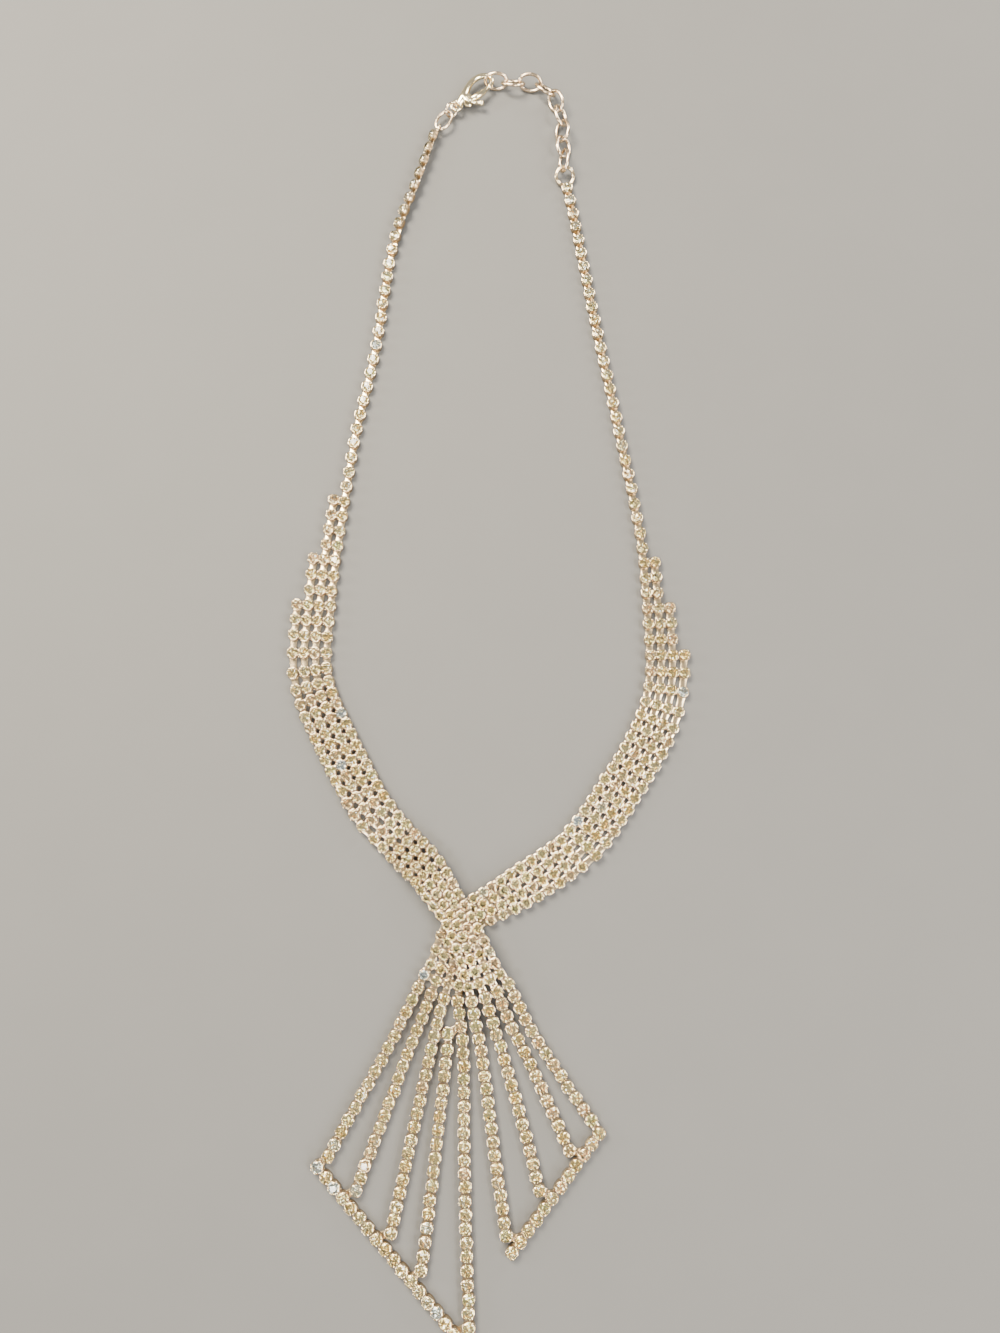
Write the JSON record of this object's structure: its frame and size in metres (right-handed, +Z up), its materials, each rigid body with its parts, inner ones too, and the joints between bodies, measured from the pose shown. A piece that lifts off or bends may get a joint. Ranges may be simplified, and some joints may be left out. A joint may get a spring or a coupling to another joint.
{
  "type": "bib necklace",
  "caption": "Cup-set rhinestone bib necklace: slim neck chains widen into bands that cross and open into a fan of stone strands, with a lobster clasp and extender chain.",
  "frame": {"origin": "on the surface that the necklace lies on, at the middle of its footprint", "axes": "+Z up from the surface, +Y from the fan towards the clasp, +X to the right as seen from above"},
  "size_m": [0.0786, 0.249, 0.0038],
  "materials": {
    "stones_in_cups": "clear foil-backed glass stones in silver-plated cups",
    "silver_plate": "silver plate, polished, lightly worn",
    "bright_silver": "silver plate, bright"
  },
  "bodies": {
    "necklace": {"neck_chain_left": "stones_in_cups", "neck_chain_right": "stones_in_cups", "shoulder_band_left": "stones_in_cups", "shoulder_band_right": "stones_in_cups", "lower_band_left": "stones_in_cups", "lower_band_right": "stones_in_cups", "fan_strand_1": "stones_in_cups", "fan_strand_2": "stones_in_cups", "fan_strand_3": "stones_in_cups", "fan_strand_4": "stones_in_cups", "fan_strand_5": "stones_in_cups", "fan_strand_6": "stones_in_cups", "fan_strand_7": "stones_in_cups", "fan_strand_8": "stones_in_cups", "fan_strand_9": "stones_in_cups", "fan_bar": "stones_in_cups", "fan_edge_left": "stones_in_cups", "fan_edge_right": "stones_in_cups", "oval_ring": "silver_plate", "small_ring": "silver_plate", "extender_link_1": "silver_plate", "extender_link_2": "silver_plate", "extender_link_3": "silver_plate", "extender_link_4": "silver_plate", "extender_link_5": "silver_plate", "extender_link_6": "silver_plate", "extender_link_7": "silver_plate", "extender_link_8": "silver_plate", "extender_link_9": "silver_plate", "clasp_body": "bright_silver"},
    "lever": {"clasp_lever": "bright_silver"}
  },
  "joints": [
    {"name": "clasp_lever_hinge", "type": "hinge", "parent": "necklace", "child": "lever", "pos_m": [-0.00536, 0.11827, 0.0016], "axis": [0, 0, 1], "range_deg": [0, 24], "stiffness_Nm_per_rad": 0.0002, "springref_deg": -11.46}
  ]
}
